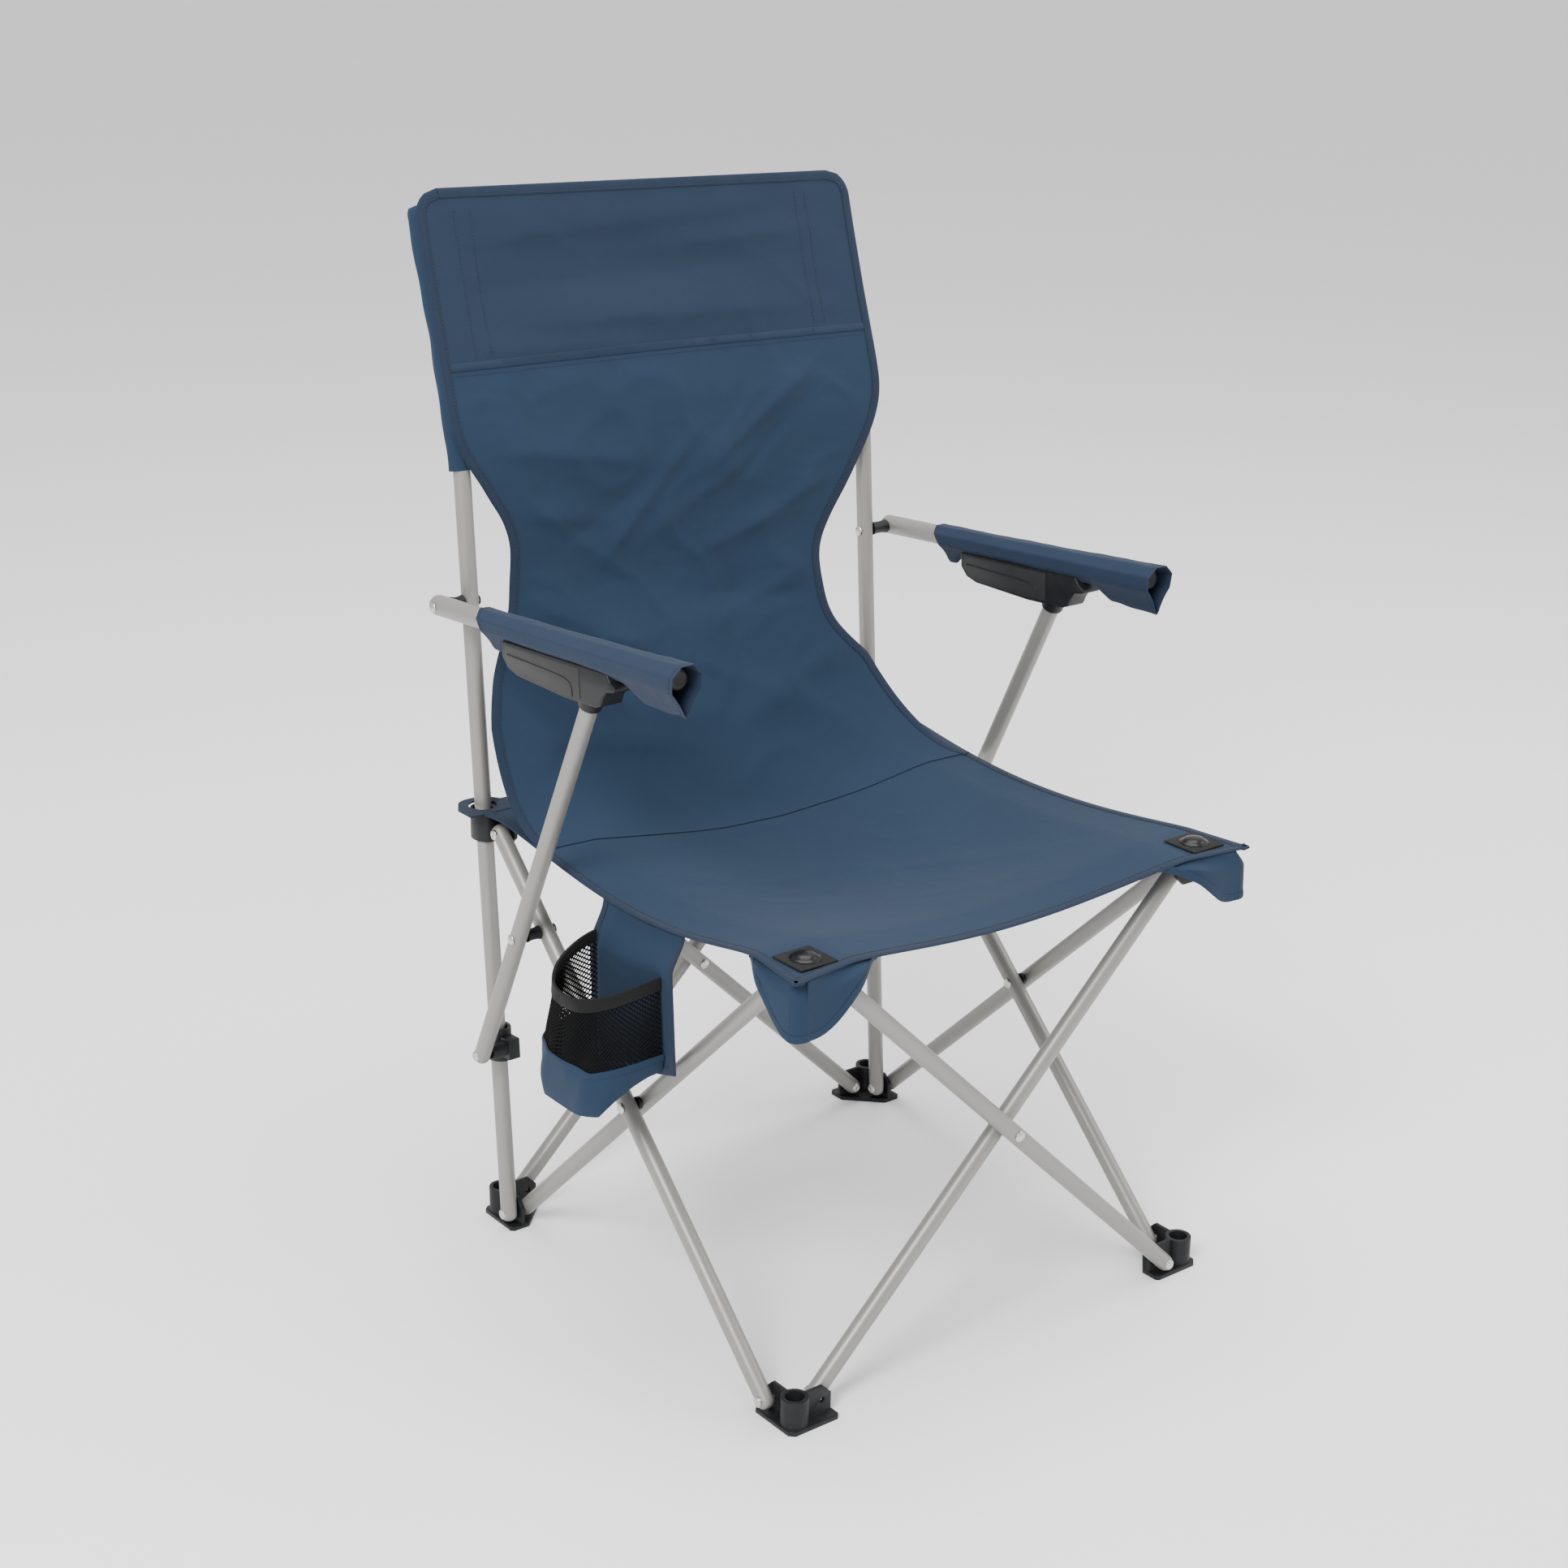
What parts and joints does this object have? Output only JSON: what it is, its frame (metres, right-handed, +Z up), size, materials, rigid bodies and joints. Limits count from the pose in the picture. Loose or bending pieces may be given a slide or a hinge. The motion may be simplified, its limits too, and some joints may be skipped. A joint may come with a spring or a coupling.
{
  "type": "folding camp chair",
  "caption": "Folding camp chair with a pinwheel scissor frame, leaning back posts, fabric sling seat and back, cloth-sleeved arm rests and a hanging mesh cup holder.",
  "frame": {"origin": "on the floor under the centre of the chair's bounding box", "axes": "+Z up, the chair faces -Y, the sitter's right side and the cup holder are on -X"},
  "size_m": [0.6122, 0.5926, 0.992],
  "materials": {
    "frame_paint": "satin warm grey",
    "rivet_steel": "bright zinc",
    "black_moulding": "fine matte grain",
    "blue_cloth": "woven polyester",
    "arm_cloth": "woven polyester, brighter blue",
    "black_mesh": "open knitted mesh"
  },
  "bodies": {
    "foot_rl": {"foot_rl": "black_moulding"},
    "leg_left_inner": {"leg_left_inner": "frame_paint", "cross_rivet_left": "rivet_steel"},
    "leg_left_outer": {"leg_left_outer": "frame_paint", "support_rivet_left": "rivet_steel", "support_spacer_left": "black_moulding"},
    "foot_fl": {"foot_fl": "black_moulding"},
    "hub_rl": {"hub_rl": "black_moulding", "seat_tab_rl": "blue_cloth"},
    "hub_fl": {"hub_fl": "black_moulding", "corner_patch_fl": "black_moulding", "flap_fl": "blue_cloth"},
    "leg_front_inner": {"leg_front_inner": "frame_paint", "cross_rivet_front": "rivet_steel"},
    "leg_front_outer": {"leg_front_outer": "frame_paint"},
    "foot_fr": {"foot_fr": "black_moulding"},
    "hub_fr": {"hub_fr": "black_moulding", "corner_patch_fr": "black_moulding", "flap_fr": "blue_cloth"},
    "leg_rear_outer": {"leg_rear_outer": "frame_paint", "cross_rivet_rear": "rivet_steel"},
    "leg_rear_inner": {"leg_rear_inner": "frame_paint"},
    "foot_rr": {"foot_rr": "black_moulding"},
    "leg_right_outer": {"leg_right_outer": "frame_paint", "cross_rivet_right": "rivet_steel"},
    "leg_right_inner": {"leg_right_inner": "frame_paint", "support_rivet_right": "rivet_steel", "support_spacer_right": "black_moulding"},
    "hub_rr": {"hub_rr": "black_moulding", "seat_tab_rr": "blue_cloth"},
    "post_left": {"post_left": "frame_paint", "pocket_left": "blue_cloth", "back_panel": "blue_cloth", "arm_bolt_left": "rivet_steel", "arm_spacer_left": "black_moulding"},
    "post_right": {"post_right": "frame_paint", "pocket_right": "blue_cloth", "arm_bolt_right": "rivet_steel", "arm_spacer_right": "black_moulding"},
    "arm_left": {"arm_tube_left": "frame_paint", "arm_cap_left": "black_moulding", "sleeve_left": "arm_cloth", "bracket_left": "black_moulding"},
    "arm_right": {"arm_tube_right": "frame_paint", "arm_cap_right": "black_moulding", "sleeve_right": "arm_cloth", "bracket_right": "black_moulding"},
    "support_left": {"support_left": "frame_paint"},
    "support_right": {"support_right": "frame_paint"},
    "collar_left": {"collar_left": "black_moulding"},
    "collar_right": {"collar_right": "black_moulding"},
    "seat_rear": {"seat_rear": "blue_cloth"},
    "seat_front": {"seat_front": "blue_cloth"},
    "cup_holder": {"cup_panel": "blue_cloth", "cup_base": "blue_cloth", "cup_mesh": "black_mesh", "cup_rim": "black_moulding"}
  },
  "joints": [
    {"name": "fold", "type": "hinge", "parent": "foot_rl", "child": "leg_left_inner", "pos_m": [-0.19351, 0.17097, 0.016], "axis": [-1, 0, 0], "range_deg": [0, 40]},
    {"name": "cross_left", "type": "hinge", "parent": "leg_left_inner", "child": "leg_left_outer", "pos_m": [-0.20371, -0.03503, 0.215], "axis": [1, 0, 0], "range_deg": [0, 80.05]},
    {"name": "foot_fl_pivot", "type": "hinge", "parent": "leg_left_outer", "child": "foot_fl", "pos_m": [-0.21391, -0.24103, 0.016], "axis": [-1, 0, 0], "range_deg": [0, 40.05]},
    {"name": "hub_rl_pivot", "type": "hinge", "parent": "leg_left_outer", "child": "hub_rl", "pos_m": [-0.21391, 0.17097, 0.414], "axis": [-1, 0, 0], "range_deg": [0, 40.05]},
    {"name": "hub_fl_pivot", "type": "hinge", "parent": "leg_left_inner", "child": "hub_fl", "pos_m": [-0.19351, -0.24103, 0.414], "axis": [1, 0, 0], "range_deg": [0, 40.05]},
    {"name": "front_leg_pivot", "type": "hinge", "parent": "foot_fl", "child": "leg_front_inner", "pos_m": [-0.17471, -0.25983, 0.016], "axis": [0, -1, 0], "range_deg": [0, 40.05]},
    {"name": "cross_front", "type": "hinge", "parent": "leg_front_inner", "child": "leg_front_outer", "pos_m": [0.03129, -0.27003, 0.215], "axis": [0, 1, 0], "range_deg": [0, 80.05]},
    {"name": "foot_fr_pivot", "type": "hinge", "parent": "leg_front_outer", "child": "foot_fr", "pos_m": [0.23729, -0.28023, 0.016], "axis": [0, -1, 0], "range_deg": [0, 40.05]},
    {"name": "hub_fr_pivot", "type": "hinge", "parent": "leg_front_inner", "child": "hub_fr", "pos_m": [0.23729, -0.25983, 0.414], "axis": [0, 1, 0], "range_deg": [0, 40.05]},
    {"name": "rear_leg_pivot", "type": "hinge", "parent": "foot_rl", "child": "leg_rear_outer", "pos_m": [-0.17471, 0.21017, 0.016], "axis": [0, -1, 0], "range_deg": [0, 40.05]},
    {"name": "cross_rear", "type": "hinge", "parent": "leg_rear_outer", "child": "leg_rear_inner", "pos_m": [0.03129, 0.19997, 0.215], "axis": [0, 1, 0], "range_deg": [0, 80.05]},
    {"name": "foot_rr_pivot", "type": "hinge", "parent": "leg_rear_inner", "child": "foot_rr", "pos_m": [0.23729, 0.18977, 0.016], "axis": [0, -1, 0], "range_deg": [0, 40.05]},
    {"name": "right_leg_pivot", "type": "hinge", "parent": "foot_rr", "child": "leg_right_outer", "pos_m": [0.27649, 0.17097, 0.016], "axis": [-1, 0, 0], "range_deg": [0, 40.05]},
    {"name": "cross_right", "type": "hinge", "parent": "leg_right_outer", "child": "leg_right_inner", "pos_m": [0.26629, -0.03503, 0.215], "axis": [1, 0, 0], "range_deg": [0, 80.05]},
    {"name": "hub_rr_pivot", "type": "hinge", "parent": "leg_right_inner", "child": "hub_rr", "pos_m": [0.25609, 0.17097, 0.414], "axis": [-1, 0, 0], "range_deg": [0, 40.05]},
    {"name": "post_left_pivot", "type": "hinge", "parent": "foot_rl", "child": "post_left", "pos_m": [-0.21391, 0.17097, 0.016], "axis": [1, 0, 0], "range_deg": [0, 1.45], "deforming": ["back_panel"]},
    {"name": "post_right_pivot", "type": "hinge", "parent": "foot_rr", "child": "post_right", "pos_m": [0.25609, 0.17097, 0.016], "axis": [1, 0, 0], "range_deg": [0, 1.45]},
    {"name": "arm_left_pivot", "type": "hinge", "parent": "post_left", "child": "arm_left", "pos_m": [-0.24391, 0.21559, 0.62838], "axis": [-1, 0, 0], "range_deg": [0, 80.85]},
    {"name": "arm_right_pivot", "type": "hinge", "parent": "post_right", "child": "arm_right", "pos_m": [0.29289, 0.21559, 0.62838], "axis": [-1, 0, 0], "range_deg": [0, 80.85]},
    {"name": "support_left_pivot", "type": "hinge", "parent": "leg_left_outer", "child": "support_left", "pos_m": [-0.24391, 0.09617, 0.34174], "axis": [-1, 0, 0], "range_deg": [0, 62.65]},
    {"name": "support_right_pivot", "type": "hinge", "parent": "leg_right_inner", "child": "support_right", "pos_m": [0.29289, 0.09617, 0.34174], "axis": [-1, 0, 0], "range_deg": [0, 62.65]},
    {"name": "collar_left_pivot", "type": "hinge", "parent": "support_left", "child": "collar_left", "pos_m": [-0.21391, 0.16418, 0.19802], "axis": [1, 0, 0], "range_deg": [0, 24.05]},
    {"name": "collar_right_pivot", "type": "hinge", "parent": "support_right", "child": "collar_right", "pos_m": [0.25609, 0.16418, 0.19802], "axis": [1, 0, 0], "range_deg": [0, 24.05]},
    {"name": "seat_rear_fold", "type": "hinge", "parent": "hub_rl", "child": "seat_rear", "pos_m": [0.03129, 0.17997, 0.4313], "axis": [1, 0, 0], "range_deg": [0, 84.05], "deforming": ["seat_rear"]},
    {"name": "seat_front_fold", "type": "hinge", "parent": "hub_fl", "child": "seat_front", "pos_m": [0.03129, -0.26003, 0.4313], "axis": [-1, 0, 0], "range_deg": [0, 84.05], "deforming": ["seat_front"]},
    {"name": "cup_hang", "type": "hinge", "parent": "seat_front", "child": "cup_holder", "pos_m": [-0.21871, -0.05503, 0.402], "axis": [1, 0, 0], "range_deg": [0, 84.05]}
  ],
  "couplings": [
    {"joint": "cross_left", "follows": "fold", "ratio": 2},
    {"joint": "foot_fl_pivot", "follows": "fold", "ratio": 1},
    {"joint": "hub_rl_pivot", "follows": "fold", "ratio": 1},
    {"joint": "hub_fl_pivot", "follows": "fold", "ratio": 1},
    {"joint": "front_leg_pivot", "follows": "fold", "ratio": 1},
    {"joint": "cross_front", "follows": "fold", "ratio": 2},
    {"joint": "foot_fr_pivot", "follows": "fold", "ratio": 1},
    {"joint": "hub_fr_pivot", "follows": "fold", "ratio": 1},
    {"joint": "rear_leg_pivot", "follows": "fold", "ratio": 1},
    {"joint": "cross_rear", "follows": "fold", "ratio": 2},
    {"joint": "foot_rr_pivot", "follows": "fold", "ratio": 1},
    {"joint": "right_leg_pivot", "follows": "fold", "ratio": 1},
    {"joint": "cross_right", "follows": "fold", "ratio": 2},
    {"joint": "hub_rr_pivot", "follows": "fold", "ratio": 1},
    {"joint": "post_left_pivot", "follows": "fold", "ratio": 0.035},
    {"joint": "post_right_pivot", "follows": "fold", "ratio": 0.035},
    {"joint": "arm_left_pivot", "follows": "fold", "ratio": 2.02},
    {"joint": "arm_right_pivot", "follows": "fold", "ratio": 2.02},
    {"joint": "support_left_pivot", "follows": "fold", "ratio": 1.565},
    {"joint": "support_right_pivot", "follows": "fold", "ratio": 1.565},
    {"joint": "collar_left_pivot", "follows": "fold", "ratio": 0.6},
    {"joint": "collar_right_pivot", "follows": "fold", "ratio": 0.6},
    {"joint": "seat_rear_fold", "follows": "fold", "ratio": 2.1},
    {"joint": "seat_front_fold", "follows": "fold", "ratio": 2.1},
    {"joint": "cup_hang", "follows": "fold", "ratio": 2.1}
  ]
}
